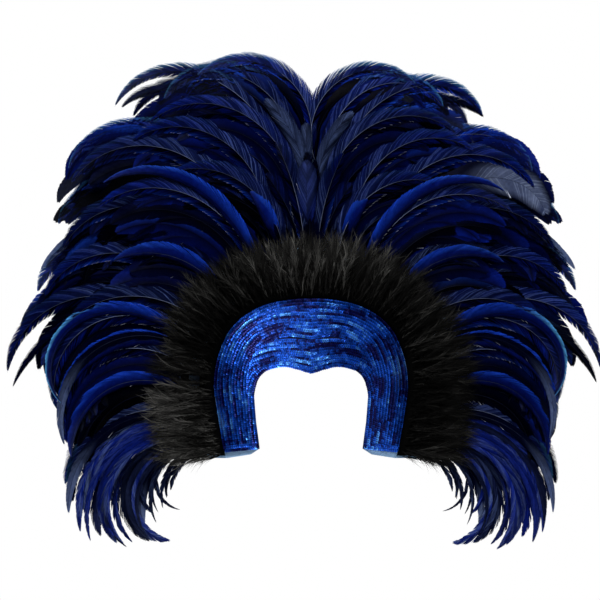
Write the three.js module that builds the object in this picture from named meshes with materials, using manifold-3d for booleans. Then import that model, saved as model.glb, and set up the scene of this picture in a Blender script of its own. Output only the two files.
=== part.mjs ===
// Showgirl feather headdress: a sequinned horseshoe worn over the forehead, a trim of black down round it,
// and a fan of curling cock feathers in three tiers, all carried by one stiff frame.
// Millimetres. +Z is up, the wearer faces -Y, and the origin is in the middle of the head opening,
// level with the ends of the two legs.
import * as THREE from "three";
import Module from "manifold-3d";

const wasm = await Module();
wasm.setup();

// Horseshoe and flange
const ARCH_Z = 68; // centre of the arch above the leg ends
const BROW_Y = -100; // front of the frame at the brow, ahead of the middle of the head
const BROW_RADIUS = 150; // curve of the frame round the head, seen from above
const CROWN_ROLL = 230; // radius of the curve back over the crown
const FLANGE_SLOPE = 0.28; // how far the flange leans back for each millimetre outwards
const FRAME_THICK = 2.5;
const FRAME_DROP = 73; // the frame's legs end just below the sequinned ones
const PANEL_THICK = 1.5;
const PANEL_DROP = 66;
const LEG_SLANT = 5; // the inner corner of a leg ends this far above its outer corner
const GAP = 0.3; // between neighbours that touch

// March round one half of the horseshoe: clock degrees over the arch, then millimetres down the leg
const LEG_START = 90;
const HORSESHOE = [
  { march: 0, inner: 26, outer: 112, flange: 300 },
  { march: 14, inner: 29, outer: 113.5, flange: 268 },
  { march: 28, inner: 35.5, outer: 118, flange: 240 },
  { march: 42, inner: 46, outer: 121, flange: 224 },
  { march: 52, inner: 53, outer: 121, flange: 216 },
  { march: 61, inner: 60, outer: 118.5, flange: 206 },
  { march: 70, inner: 64, outer: 116.5, flange: 184 },
  { march: 90, inner: 66, outer: 112, flange: 160 },
  { march: 124, inner: 63.5, outer: 106.5, flange: 155 },
  { march: 156, inner: 59.5, outer: 100.5, flange: 151 },
  { march: 163, inner: 70, outer: 98, flange: 150 },
];
const ARCH_STEP = 7.5; // degrees between sections of the arch
const LEG_STEP = 16.5; // millimetres between sections of the legs

// Down trim: a rolled core along the horseshoe's edge with two rows of locks
const CORE = [
  { out: 1.5, lift: 0.5 },
  { out: 2, lift: 9 },
  { out: 7, lift: 17 },
  { out: 13, lift: 17 },
  { out: 18, lift: 10 },
  { out: 18, lift: 0.5 },
];
const CORE_STEPS = 8;
const LOCK_ROWS = [
  { reach: 78, rise: 40, locks: 6 },
  { reach: 60, rise: 50, locks: 5 },
];
const LOCK_ROOT_OUT = 8; // where a lock starts inside the core
const LOCK_ROOT_LIFT = 8;
const LOCK_WIDTH = 26;
const LOCK_THICK = 10;
const LOCK_PROFILE = [
  { along: 0, width: 0.75, thick: 0.7 },
  { along: 0.6, width: 1, thick: 1 },
  { along: 1, width: 0.12, thick: 0.15 },
];
const LOCK_UNEVEN = 0.14; // longest locks are this share longer than the middle ones
const LOCK_BEAT = 2.4; // radians from one lock to the next in the wave of their lengths
const LOCK_DROOP = 6; // degrees that the lowest lock beside the face turns down
const TRIM = [
  { name: "fluff_crown", from: 1.2, to: 59, droop: 0 },
  { name: "fluff_side", from: 61, to: LEG_START + PANEL_DROP + 3, droop: LOCK_DROOP },
];

// Feathers: root at a clock angle on a ring round the arch, heading from upright, curl along the length
const TAPE_WIDTH = 10;
const TAPE_THICK = 1.5;
const TAPE_GAP = 0.7; // a tape bridges the frame's flat facets, so it stays clear of them
const TAPE_OVERRUN = 0.8; // degrees of tape past the end feathers
const VANE_WIDTH = 28;
const VANE_START = 0.08; // the width follows this stretch of a half wave, blunt at the root
const VANE_SPAN = 0.9; // and nearly pointed at the tip
const VANE_FULLNESS = 0.7;
const VANE_OUTER = 0.62; // share of the vane on the outside of the curl
const VANE_THICK = 1.6;
const VANE_TIP_THICK = 0.5; // share of the thickness left at the tip
const FEATHER_STEPS = 6;
const QUILL_FINENESS = 6; // small steps of the quill's curve to each section
const TIP_CROWDING = 1.25; // sections crowd towards the tip, where the curl is tightest
const ROOT_LIFT = 1.1; // the quill's underside, inside the tape
const ROOT_RISE = 40; // length in which a feather rises to its own layer
const LAYER_STEP = 3; // between the layers of one tier
const LAYERS = 3;
const FILL_SHARE = 0.92; // length of the feather between two lead feathers
const FILL_SPACING = 3.5; // lead feathers this many degrees apart have one between them
const LEAN_REACH = 160; // distance past its root in which a feather leans by its tier's whole tip lift
const MIDLINE_GAP = 0.5; // the halves stay this far from the middle
// Length of the right half's feathers as a share of the left half's
const RIGHT_SHARES = [
  { clock: 0, share: 0.94 },
  { clock: 4.5, share: 0.86 },
  { clock: 12, share: 0.88 },
  { clock: 21, share: 0.9 },
  { clock: 29, share: 0.97 },
  { clock: 40, share: 0.96 },
  { clock: 57, share: 0.91 },
  { clock: 88, share: 0.97 },
  { clock: 119, share: 1.04 },
];
const TIERS = [
  {
    name: "plumes_outer",
    color: 0x0d1640,
    layer: 2,
    tipLift: -20,
    rows: [
      { clock: 1.5, ring: 268, heading: -22, length: 230, curl: 152, hook: 1.1 },
      { clock: 2.8, ring: 264, heading: 8, length: 240, curl: 140, hook: 1.5 },
      { clock: 4.5, ring: 262, heading: 28, length: 282, curl: 126, hook: 1.9 },
      { clock: 9, ring: 254, heading: 28, length: 226, curl: 122, hook: 1.6 },
      { clock: 15, ring: 246, heading: 49, length: 268, curl: 114, hook: 2.2 },
      { clock: 21, ring: 238, heading: 48, length: 250, curl: 122, hook: 2.4 },
      { clock: 29, ring: 226, heading: 48, length: 224, curl: 110, hook: 1.6 },
      { clock: 38, ring: 214, heading: 46, length: 217, curl: 102, hook: 1 },
      { clock: 47, ring: 208, heading: 52, length: 204, curl: 110, hook: 1.4 },
      { clock: 57, ring: 198, heading: 58, length: 170, curl: 112, hook: 1.3 },
    ],
  },
  {
    name: "plumes_middle",
    color: 0x14246a,
    layer: 12,
    tipLift: 0,
    rows: [
      { clock: 3, ring: 211, heading: 8, length: 262, curl: 125, hook: 1.4 },
      { clock: 13, ring: 205, heading: 12, length: 230, curl: 115, hook: 1.4 },
      { clock: 22, ring: 190, heading: 18, length: 284, curl: 130, hook: 1.4 },
      { clock: 33, ring: 186, heading: 34, length: 234, curl: 120, hook: 1.3 },
      { clock: 48, ring: 178, heading: 46, length: 214, curl: 110, hook: 1.4 },
      { clock: 61, ring: 172, heading: 58, length: 260, curl: 116, hook: 1.4 },
      { clock: 68, ring: 170, heading: 46, length: 194, curl: 116, hook: 1.1 },
    ],
  },
  {
    name: "plumes_crown",
    color: 0x1a3fb0,
    layer: 22,
    tipLift: 14,
    rows: [
      { clock: 2.5, ring: 162, heading: 2, length: 140, curl: 25, hook: 1 },
      { clock: 11, ring: 160, heading: 6, length: 190, curl: 100, hook: 1.2 },
      { clock: 24, ring: 154, heading: 20, length: 240, curl: 110, hook: 1.3 },
      { clock: 41, ring: 152, heading: 36, length: 150, curl: 80, hook: 1.2 },
      { clock: 56, ring: 150, heading: 52, length: 170, curl: 80, hook: 1.2 },
    ],
  },
  {
    name: "plumes_side",
    color: 0x121f58,
    layer: 22,
    tipLift: 14,
    rows: [
      { clock: 66, ring: 150, heading: 48, length: 246, curl: 152, hook: 1.2 },
      { clock: 77, ring: 150, heading: 54, length: 214, curl: 142, hook: 1.15 },
      { clock: 88, ring: 148, heading: 62, length: 188, curl: 124, hook: 1.1 },
      { clock: 98, ring: 148, heading: 74, length: 198, curl: 112, hook: 1.05 },
      { clock: 104, ring: 150, heading: 82, length: 202, curl: 106, hook: 1 },
      { clock: 108, ring: 152, heading: 86, length: 190, curl: 132, hook: 1.15 },
      { clock: 111.4, ring: 152, heading: 94, length: 178, curl: 172, hook: 1.25 },
      { clock: 114.2, ring: 151, heading: 100, length: 112, curl: 108, hook: 1 },
      { clock: 117, ring: 150, heading: 112, length: 54, curl: 66, hook: 1 },
    ],
  },
];

const radians = THREE.MathUtils.degToRad;
const degrees = THREE.MathUtils.radToDeg;
const mix = THREE.MathUtils.lerp;
const inverseMix = THREE.MathUtils.inverseLerp;
const clamp = THREE.MathUtils.clamp;
const smooth = THREE.MathUtils.smoothstep;

// Value of one column of a table at a place between its rows
function column(table, key, place, name) {
  const after = table.findIndex((row) => row[key] >= place);
  if (after === 0) return table[0][name];
  if (after < 0) return table[table.length - 1][name];
  const a = table[after - 1];
  const b = table[after];
  return mix(a[name], b[name], (place - a[key]) / (b[key] - a[key]));
}

const shoe = (march, name) => column(HORSESHOE, "march", march, name);

// Point in the front plane at a march round one half and a distance from the arch's centre line
function marchPoint(march, side, distance) {
  const clock = radians(Math.min(march, LEG_START));
  const drop = Math.max(march - LEG_START, 0);
  const x = side * distance * Math.sin(clock);
  return { x, z: ARCH_Z - drop + distance * Math.cos(clock) };
}

// Depth of the horseshoe's front face: wrapped round the brow and rolled back over the crown
function plateDepth(x, z) {
  const wrap = BROW_RADIUS - Math.sqrt(BROW_RADIUS ** 2 - x ** 2);
  const above = Math.max(z - ARCH_Z, 0);
  return BROW_Y + wrap + above ** 2 / (2 * CROWN_ROLL);
}

// Nearest point of the horseshoe's outer edge, and how far outside it a place is
function nearestEdge(x, z) {
  if (z >= ARCH_Z) {
    const reach = Math.hypot(x, z - ARCH_Z);
    const outer = shoe(degrees(Math.atan2(Math.abs(x), z - ARCH_Z)), "outer");
    const share = outer / reach;
    return { x: x * share, z: mix(ARCH_Z, z, share), out: reach - outer };
  }
  const drop = Math.min(ARCH_Z - z, FRAME_DROP);
  const outer = shoe(LEG_START + drop, "outer");
  const beside = Math.abs(x) - outer;
  const under = ARCH_Z - FRAME_DROP - z;
  const out = under > 0 ? Math.hypot(Math.max(beside, 0), under) : beside;
  return { x: Math.sign(x) * outer, z: ARCH_Z - drop, out };
}

// Depth of the frame's front face anywhere, carried on past its rim
function frameDepth(x, z) {
  const edge = nearestEdge(x, z);
  if (edge.out <= 0) return plateDepth(x, z);
  return plateDepth(edge.x, edge.z) + FLANGE_SLOPE * edge.out;
}

// A place in front of the frame's face
function lifted(x, z, lift) {
  return [x, frameDepth(x, z) - lift, z];
}

// Closed solid through rings of points, each ring a front row and then a back row in reverse.
// Front and back faces are split along the same diagonal, so stacked skins stay parallel.
function loft(rings) {
  const count = rings[0].length;
  const triangles = [];
  rings.slice(1).forEach((_, r) => {
    for (let i = 0; i < count; i++) {
      const j = (i + 1) % count;
      const a = r * count + i;
      const b = r * count + j;
      if (i < count / 2) triangles.push(a, b, b + count, a, b + count, a + count);
      else triangles.push(a, b, a + count, b, b + count, a + count);
    }
  });
  const last = (rings.length - 1) * count;
  for (let i = 0; i < count - 1 - i; i++) {
    const k = count - 1 - i;
    triangles.push(i, k, i + 1, last + i, last + i + 1, last + k);
    if (i + 1 < k - 1) triangles.push(i + 1, k, k - 1, last + i + 1, last + k - 1, last + k);
  }
  const points = rings.flat(2);
  const volume = signedVolume(points, triangles);
  if (volume < 0) triangles.reverse();
  return new wasm.Manifold(
    new wasm.Mesh({
      numProp: 3,
      vertProperties: new Float32Array(points),
      triVerts: new Uint32Array(triangles),
    }),
  );
}

function signedVolume(points, triangles) {
  const corner = (i) => new THREE.Vector3().fromArray(points, 3 * i);
  let volume = 0;
  for (let t = 0; t < triangles.length; t += 3) {
    const [a, b, c] = triangles.slice(t, t + 3).map(corner);
    volume += a.dot(b.cross(c)) / 6;
  }
  return volume;
}

function fuse(solids) {
  return solids.reduce((whole, solid) => whole.add(solid));
}

function namedMesh(name, solid, look) {
  const made = solid.getMesh();
  const geometry = new THREE.BufferGeometry();
  geometry.setAttribute("position", new THREE.BufferAttribute(made.vertProperties, 3));
  geometry.setIndex(new THREE.BufferAttribute(made.triVerts, 1));
  geometry.computeVertexNormals();
  const mesh = new THREE.Mesh(geometry, new THREE.MeshStandardMaterial(look));
  mesh.name = name;
  return mesh;
}

// Sections of the horseshoe from the left leg's end, over the crown, to the right leg's end
function shoeSections(drop) {
  const half = [];
  for (let clock = 0; clock < LEG_START; clock += ARCH_STEP) half.push(clock);
  for (let down = 0; down < drop; down += LEG_STEP) half.push(LEG_START + down);
  half.push(LEG_START + drop);
  const left = half.slice(1).reverse();
  return [
    ...left.map((march) => ({ march, side: -1 })),
    ...half.map((march) => ({ march, side: 1 })),
  ];
}

// A skin of even thickness over the horseshoe, between the distances that a section gives.
// Its legs' sections slant more and more towards their ends.
function shoeSkin({ drop, distancesAt, lift, thick }) {
  const rings = shoeSections(drop).map(({ march, side }) => {
    const pull = LEG_SLANT * smooth(march, LEG_START, LEG_START + PANEL_DROP);
    const row = distancesAt(march).map((distance) => {
      const inward = clamp(inverseMix(shoe(march, "outer"), shoe(march, "inner"), distance), 0, 1);
      return marchPoint(march - pull * inward, side, distance);
    });
    const front = row.map(({ x, z }) => lifted(x, z, lift + thick));
    const back = row.map(({ x, z }) => lifted(x, z, lift));
    return [...front, ...back.reverse()];
  });
  return loft(rings);
}

// Distances across the horseshoe itself, from its inner edge to its outer edge
function plateDistances(march) {
  const inner = shoe(march, "inner");
  const outer = shoe(march, "outer");
  return [inner, mix(inner, outer, 0.5), outer];
}

function baseFrame() {
  const distancesAt = (march) => {
    const outer = shoe(march, "outer");
    const flange = shoe(march, "flange");
    return [...plateDistances(march), mix(outer, flange, 0.5), flange];
  };
  return shoeSkin({ drop: FRAME_DROP, distancesAt, lift: -FRAME_THICK, thick: FRAME_THICK });
}

function sequinPanel() {
  return shoeSkin({
    drop: PANEL_DROP,
    distancesAt: plateDistances,
    lift: GAP,
    thick: PANEL_THICK,
  });
}

// One lock of down: a tapered wedge that starts in the core and stands forward as it goes out
function downLock(row, trim, side, index) {
  const share = (index + 0.5) / row.locks;
  const march = mix(trim.from, trim.to, share);
  const root = marchPoint(march, side, shoe(march, "outer") + LOCK_ROOT_OUT);
  const droop = radians(trim.droop) * share ** 3;
  const aim = radians(Math.min(march, LEG_START)) + droop;
  const uneven = 1 + LOCK_UNEVEN * Math.sin(LOCK_BEAT * index + row.reach);
  const length = (row.reach - LOCK_ROOT_OUT) * uneven;
  const rings = LOCK_PROFILE.map(({ along, width, thick }) => {
    const out = length * along;
    const lift = mix(LOCK_ROOT_LIFT, row.rise, along);
    const place = (across, up) => {
      const x = root.x + side * (out * Math.sin(aim) - across * Math.cos(aim));
      const z = root.z + out * Math.cos(aim) + across * Math.sin(aim);
      const clear = side * Math.max(side * x, MIDLINE_GAP);
      return lifted(clear, z, lift + up);
    };
    const half = (LOCK_WIDTH / 2) * width;
    const crest = LOCK_THICK * thick;
    return [place(half, 0), place(0, crest), place(-half, 0)];
  });
  return loft(rings);
}

function downTrim(trim, side) {
  const rings = [];
  for (let i = 0; i <= CORE_STEPS; i++) {
    const march = mix(trim.from, trim.to, i / CORE_STEPS);
    const edge = shoe(march, "outer");
    rings.push(
      CORE.map(({ out, lift }) => {
        const { x, z } = marchPoint(march, side, edge + out);
        return lifted(x, z, lift);
      }),
    );
  }
  const locks = LOCK_ROWS.flatMap((row) =>
    Array.from({ length: row.locks }, (_, index) => downLock(row, trim, side, index)),
  );
  return fuse([loft(rings), ...locks]);
}

// Lead feathers of a tier with a shorter feather between each two that stand apart
function withFills(rows) {
  const names = ["clock", "ring", "heading", "length", "curl", "hook"];
  return rows.flatMap((row, i) => {
    const before = rows[i - 1];
    if (i === 0 || row.clock - before.clock < FILL_SPACING) return [row];
    const fill = {};
    names.forEach((name) => (fill[name] = mix(before[name], row[name], 0.5)));
    fill.length *= FILL_SHARE;
    return [fill, row];
  });
}

// Stations along a feather's quill, in the front plane of the right half
function quill(row, length) {
  const steps = FEATHER_STEPS * QUILL_FINENESS;
  const clock = radians(row.clock);
  let x = row.ring * Math.sin(clock);
  let z = ARCH_Z + row.ring * Math.cos(clock);
  let before = 0;
  const stations = [];
  for (let i = 0; i <= steps; i++) {
    const along = 1 - (1 - i / steps) ** TIP_CROWDING;
    const aim = radians(row.heading + row.curl * along ** row.hook);
    x += Math.sin(aim) * length * (along - before);
    z += Math.cos(aim) * length * (along - before);
    before = along;
    if (i % QUILL_FINENESS === 0) stations.push({ x, z, aim, along });
  }
  return stations;
}

function vaneWidth(along) {
  const phase = Math.PI * (VANE_START + VANE_SPAN * along);
  return VANE_WIDTH * Math.sin(phase) ** VANE_FULLNESS;
}

// One feather: a vane with a raised quill, lying in its own layer in front of the frame
function feather(row, tier, side, index) {
  const share = side > 0 ? column(RIGHT_SHARES, "clock", row.clock, "share") : 1;
  const length = row.length * share;
  const layer = tier.layer + LAYER_STEP * (index % LAYERS);
  const stations = quill(row, length);
  const rootOut = nearestEdge(stations[0].x, stations[0].z).out;
  const rings = stations.map(({ x, z, aim, along }) => {
    const width = vaneWidth(along);
    const rise = layer * smooth(along * length, 0, ROOT_RISE);
    const past = Math.max(nearestEdge(x, z).out - rootOut, 0);
    const lean = tier.tipLift * (past / LEAN_REACH) ** 2;
    const lift = ROOT_LIFT + rise + lean;
    const place = (across, up) => {
      const outX = Math.max(x - across * Math.cos(aim), MIDLINE_GAP);
      return lifted(side * outX, z + across * Math.sin(aim), lift + up);
    };
    const crest = VANE_THICK * mix(1, VANE_TIP_THICK, along);
    return [
      place(width * VANE_OUTER, 0),
      place(0, crest),
      place(-width * (1 - VANE_OUTER), 0),
    ];
  });
  return loft(rings);
}

// The sewn tape that holds a tier's quills on the frame
function quillTape(rows, side) {
  const first = rows[0];
  const last = rows[rows.length - 1];
  const ends = [
    { ...first, clock: first.clock - TAPE_OVERRUN },
    ...rows,
    { ...last, clock: last.clock + TAPE_OVERRUN },
  ];
  const rings = ends.map(({ clock, ring }) => {
    const place = (offset, lift) => {
      const aim = radians(clock);
      const x = side * (ring + offset) * Math.sin(aim);
      return lifted(x, ARCH_Z + (ring + offset) * Math.cos(aim), lift);
    };
    const half = TAPE_WIDTH / 2;
    const top = TAPE_GAP + TAPE_THICK;
    return [place(-half, top), place(half, top), place(half, TAPE_GAP), place(-half, TAPE_GAP)];
  });
  return loft(rings);
}

function plumes(tier, side) {
  const rows = withFills(tier.rows);
  const feathers = rows.map((row, index) => feather(row, tier, side, index));
  return fuse([quillTape(rows, side), ...feathers]);
}

const headdress = new THREE.Group();
headdress.name = "showgirl_headdress";
headdress.add(
  namedMesh("base_frame", baseFrame(), { color: 0xb9c6dc, roughness: 0.9, metalness: 0 }),
);
headdress.add(
  namedMesh("sequin_panel", sequinPanel(), { color: 0x1c49c4, roughness: 0.25, metalness: 0.6 }),
);
const SIDES = [
  { side: -1, label: "left" },
  { side: 1, label: "right" },
];
for (const { side, label } of SIDES) {
  for (const trim of TRIM) {
    const look = { color: 0x0b0b0d, roughness: 0.95, metalness: 0 };
    headdress.add(namedMesh(`${trim.name}_${label}`, downTrim(trim, side), look));
  }
  for (const tier of TIERS) {
    const look = { color: tier.color, roughness: 0.5, metalness: 0 };
    headdress.add(namedMesh(`${tier.name}_${label}`, plumes(tier, side), look));
  }
}

export default headdress;
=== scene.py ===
"""Dresses the showgirl feather headdress: rows of sequins, a trim of black down and barbed cock feathers.

Shapes are worked out in millimetres in the frame of the CAD part and scaled to metres when a mesh is made.
"""
import math

import bpy
import numpy as np
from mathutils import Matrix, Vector


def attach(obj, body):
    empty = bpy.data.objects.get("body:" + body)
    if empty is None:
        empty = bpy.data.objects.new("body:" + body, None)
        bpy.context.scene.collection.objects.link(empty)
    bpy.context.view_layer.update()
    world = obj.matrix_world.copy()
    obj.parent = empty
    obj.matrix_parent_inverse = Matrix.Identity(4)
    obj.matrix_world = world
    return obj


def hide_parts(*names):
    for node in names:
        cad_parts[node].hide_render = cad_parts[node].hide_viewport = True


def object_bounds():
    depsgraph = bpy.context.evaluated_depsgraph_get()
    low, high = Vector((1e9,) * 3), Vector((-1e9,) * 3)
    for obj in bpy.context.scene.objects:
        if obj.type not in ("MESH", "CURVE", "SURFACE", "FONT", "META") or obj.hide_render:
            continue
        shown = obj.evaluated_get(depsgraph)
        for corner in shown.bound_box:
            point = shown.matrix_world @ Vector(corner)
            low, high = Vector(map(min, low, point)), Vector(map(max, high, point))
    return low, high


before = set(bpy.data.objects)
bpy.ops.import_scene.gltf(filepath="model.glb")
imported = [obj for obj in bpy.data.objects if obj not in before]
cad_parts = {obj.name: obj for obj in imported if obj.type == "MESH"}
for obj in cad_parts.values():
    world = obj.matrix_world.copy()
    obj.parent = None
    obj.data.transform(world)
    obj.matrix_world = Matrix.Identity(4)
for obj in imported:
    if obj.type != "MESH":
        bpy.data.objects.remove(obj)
cad_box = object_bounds()

MM = 0.001
SEED = 41
DOWN_SEED = SEED + 10
FEATHER_SEED = SEED + 100
TIER_SEEDS = 10
PHASES = (0.0, 6.3)
SIDES = ((-1.0, "left"), (1.0, "right"))

# Horseshoe and flange, as in the part
ARCH_Z = 68.0
BROW_Y = -100.0
BROW_RADIUS = 150.0
CROWN_ROLL = 230.0
FLANGE_SLOPE = 0.28
FRAME_DROP = 73.0
PANEL_FRONT = 1.8
PANEL_DROP = 66.0
LEG_SLANT = 5.0
LEG_START = 90.0
PLATE_REACH = 112.0
SHOE_MARCH = (0, 14, 28, 42, 52, 61, 70, 90, 124, 156, 163)
SHOE_INNER = (26, 29, 35.5, 46, 53, 60, 64, 66, 63.5, 59.5, 70)
SHOE_OUTER = (112, 113.5, 118, 121, 121, 118.5, 116.5, 112, 106.5, 100.5, 98)

# Photograph's framing
PIXEL = 1.17
PHOTO_SIZE = 600
PHOTO_MIDDLE_X = 311.0
PHOTO_BASE_Y = 453.0
CAMERA_DISTANCE = 5.0
SENSOR = 36.0


def dye(red, green, blue):
    """Linear colour of an sRGB one written in 0 to 255."""
    shares = np.array([red, green, blue]) / 255.0
    return np.where(shares <= 0.04045, shares / 12.92, ((shares + 0.055) / 1.055) ** 2.4)


def smoothstep(value, low, high):
    share = np.clip((value - low) / (high - low), 0.0, 1.0)
    return share * share * (3.0 - 2.0 * share)


def blend(a, b, share):
    """Mix of two colours by an array of shares."""
    share = np.asarray(share)[..., None]
    return a * (1.0 - share) + b * share


def unit(vectors):
    return vectors / np.linalg.norm(vectors, axis=-1, keepdims=True)


# Frame surface


def shoe_inner(march):
    return np.interp(march, SHOE_MARCH, SHOE_INNER)


def shoe_outer(march):
    return np.interp(march, SHOE_MARCH, SHOE_OUTER)


def march_point(march, side, distance):
    """Front-plane place at a march round one half and a distance from the arch's centre line."""
    clock = np.radians(np.minimum(march, LEG_START))
    drop = np.maximum(march - LEG_START, 0.0)
    return side * distance * np.sin(clock), ARCH_Z - drop + distance * np.cos(clock)


def plate_depth(x, z):
    near = np.minimum(np.abs(x), PLATE_REACH)
    wrap = BROW_RADIUS - np.sqrt(BROW_RADIUS**2 - near**2)
    above = np.maximum(z - ARCH_Z, 0.0)
    return BROW_Y + wrap + above**2 / (2.0 * CROWN_ROLL)


def nearest_edge(x, z):
    """Nearest point of the horseshoe's outer edge, and how far outside it a place is."""
    over = z >= ARCH_Z
    drop = np.clip(ARCH_Z - z, 0.0, FRAME_DROP)
    clock = np.degrees(np.arctan2(np.abs(x), np.maximum(z - ARCH_Z, 0.0)))
    outer = shoe_outer(np.where(over, clock, LEG_START + drop))
    reach = np.maximum(np.hypot(x, z - ARCH_Z), 1.0)
    edge_x = np.where(over, x * outer / reach, np.sign(x) * outer)
    edge_z = np.where(over, ARCH_Z + (z - ARCH_Z) * outer / reach, ARCH_Z - drop)
    beside = np.abs(x) - outer
    under = ARCH_Z - FRAME_DROP - z
    below = np.where(under > 0.0, np.hypot(np.maximum(beside, 0.0), under), beside)
    return edge_x, edge_z, np.where(over, reach - outer, below)


def lifted(x, z, lift):
    """Points in front of the frame's face."""
    edge_x, edge_z, out = nearest_edge(x, z)
    flange = plate_depth(edge_x, edge_z) + FLANGE_SLOPE * out
    face = np.where(out <= 0.0, plate_depth(x, z), flange)
    return np.stack([x, face - lift, z], axis=-1)


# Joined meshes


class Heap:
    """Points, triangles and tints of many small things that become one mesh."""

    def __init__(self):
        self.points = []
        self.triangles = []
        self.tints = []
        self.count = 0

    def add(self, points, triangles, tints):
        points = points.reshape(-1, 3)
        self.points.append(points)
        self.triangles.append(np.asarray(triangles).reshape(-1, 3) + self.count)
        self.tints.append(np.broadcast_to(tints, points.shape).reshape(-1, 3))
        self.count += len(points)

    def add_copies(self, points, triangles, tints):
        """Adds many things of the same make: points has a row of corners for each thing."""
        things, corners = points.shape[:2]
        starts = np.arange(things)[:, None, None] * corners
        self.add(points, starts + np.asarray(triangles), tints.reshape(-1, 3))

    def piece(self, name, material):
        points = np.concatenate(self.points) * MM
        triangles = np.concatenate(self.triangles)
        tints = np.concatenate(self.tints)
        mesh = bpy.data.meshes.new(name)
        mesh.vertices.add(len(points))
        mesh.vertices.foreach_set("co", points.astype(np.float32).ravel())
        mesh.loops.add(triangles.size)
        mesh.loops.foreach_set("vertex_index", triangles.astype(np.int32).ravel())
        mesh.polygons.add(len(triangles))
        mesh.polygons.foreach_set("loop_start", np.arange(0, triangles.size, 3, dtype=np.int32))
        mesh.update(calc_edges=True)
        mesh.shade_smooth()
        paint = mesh.attributes.new("tint", "FLOAT_COLOR", "POINT")
        alpha = np.ones((len(tints), 1))
        paint.data.foreach_set("color", np.hstack([tints, alpha]).astype(np.float32).ravel())
        mesh.materials.append(material)
        thing = bpy.data.objects.new(name, mesh)
        bpy.context.collection.objects.link(thing)
        return thing


def grid_triangles(rows, columns, closed=False):
    """Triangles of a grid of points, open or closed round its columns."""
    triangles = []
    for row in range(rows - 1):
        for column in range(columns if closed else columns - 1):
            a = row * columns + column
            b = row * columns + (column + 1) % columns
            triangles += [(a, b, b + columns), (a, b + columns, a + columns)]
    return triangles


def declare(thing, slot, *nodes):
    """Says what a piece rides on and which nodes it stands for; the slot is not used."""
    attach(thing, "root")
    if nodes:
        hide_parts(*nodes)


# Materials


def new_material(name):
    material = bpy.data.materials.new(name)
    material.use_nodes = True
    tree = material.node_tree
    return material, tree, tree.nodes["Principled BSDF"]


def noise_node(tree, scale, detail):
    place = tree.nodes.new("ShaderNodeTexCoord")
    noise = tree.nodes.new("ShaderNodeTexNoise")
    noise.inputs["Scale"].default_value = scale
    noise.inputs["Detail"].default_value = detail
    tree.links.new(place.outputs["Object"], noise.inputs["Vector"])
    return noise


def range_node(tree, value, low, high):
    """Maps a 0 to 1 value to a range."""
    node = tree.nodes.new("ShaderNodeMapRange")
    node.inputs["To Min"].default_value = low
    node.inputs["To Max"].default_value = high
    tree.links.new(value, node.inputs["Value"])
    return node.outputs["Result"]


def tinted_colour(tree, shade):
    """The mesh's tint, its colour with painted light, darkened and lightened by a noise value."""
    paint = tree.nodes.new("ShaderNodeAttribute")
    paint.attribute_name = "tint"
    scaled = tree.nodes.new("ShaderNodeVectorMath")
    scaled.operation = "SCALE"
    tree.links.new(paint.outputs["Color"], scaled.inputs[0])
    tree.links.new(shade, scaled.inputs["Scale"])
    return scaled.outputs["Vector"]


def feather_material():
    # Base colour from the tint, which carries painted sheen, highlights, backlight, glints and shade
    material, tree, shader = new_material("dyed feather with painted light")
    streaks = noise_node(tree, scale=260.0, detail=3.0)
    colour = tinted_colour(tree, range_node(tree, streaks.outputs["Fac"], low=0.55, high=1.45))
    tree.links.new(colour, shader.inputs["Base Color"])
    tree.links.new(range_node(tree, streaks.outputs["Fac"], low=0.3, high=0.56), shader.inputs["Roughness"])
    shader.inputs["Specular IOR Level"].default_value = 0.012
    glow = tree.nodes.new("ShaderNodeBsdfTranslucent")
    tree.links.new(colour, glow.inputs["Color"])
    mixed = tree.nodes.new("ShaderNodeMixShader")
    mixed.inputs["Fac"].default_value = 0.3
    tree.links.new(shader.outputs["BSDF"], mixed.inputs[1])
    tree.links.new(glow.outputs["BSDF"], mixed.inputs[2])
    tree.links.new(mixed.outputs["Shader"], tree.nodes["Material Output"].inputs["Surface"])
    return material


def down_material():
    # Base colour from the tint, which carries the down's painted sheen
    material, tree, shader = new_material("black down with painted sheen")
    tufts = noise_node(tree, scale=90.0, detail=4.0)
    colour = tinted_colour(tree, range_node(tree, tufts.outputs["Fac"], low=0.4, high=1.6))
    tree.links.new(colour, shader.inputs["Base Color"])
    tree.links.new(range_node(tree, tufts.outputs["Fac"], low=0.55, high=0.8), shader.inputs["Roughness"])
    shader.inputs["Specular IOR Level"].default_value = 0.01
    return material


def sequin_material():
    # Base colour from the tint, which carries painted reflections and the painted highlight and shade of each
    # disc
    material, tree, shader = new_material("blue sequin with painted reflections")
    smears = noise_node(tree, scale=500.0, detail=2.0)
    colour = tinted_colour(tree, range_node(tree, smears.outputs["Fac"], low=0.75, high=1.25))
    tree.links.new(colour, shader.inputs["Base Color"])
    tree.links.new(range_node(tree, smears.outputs["Fac"], low=0.26, high=0.42), shader.inputs["Roughness"])
    shader.inputs["Metallic"].default_value = 0.6
    shader.inputs["Specular IOR Level"].default_value = 0.2
    return material


def cloth_material(name, dark, light, thread):
    """A felted or woven cloth: mottled colour with a fine raised thread."""
    material, tree, shader = new_material(name)
    mottle = noise_node(tree, scale=60.0, detail=5.0)
    ramp = tree.nodes.new("ShaderNodeValToRGB")
    ramp.color_ramp.elements[0].color = (*dark, 1.0)
    ramp.color_ramp.elements[1].color = (*light, 1.0)
    tree.links.new(mottle.outputs["Fac"], ramp.inputs["Fac"])
    tree.links.new(ramp.outputs["Color"], shader.inputs["Base Color"])
    fibre = noise_node(tree, scale=thread, detail=6.0)
    bump = tree.nodes.new("ShaderNodeBump")
    bump.inputs["Strength"].default_value = 0.5
    bump.inputs["Distance"].default_value = 0.0006
    tree.links.new(fibre.outputs["Fac"], bump.inputs["Height"])
    tree.links.new(bump.outputs["Normal"], shader.inputs["Normal"])
    shader.inputs["Roughness"].default_value = 0.9
    shader.inputs["Sheen Weight"].default_value = 0.3
    return material


# Camera, lights and floor


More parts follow.
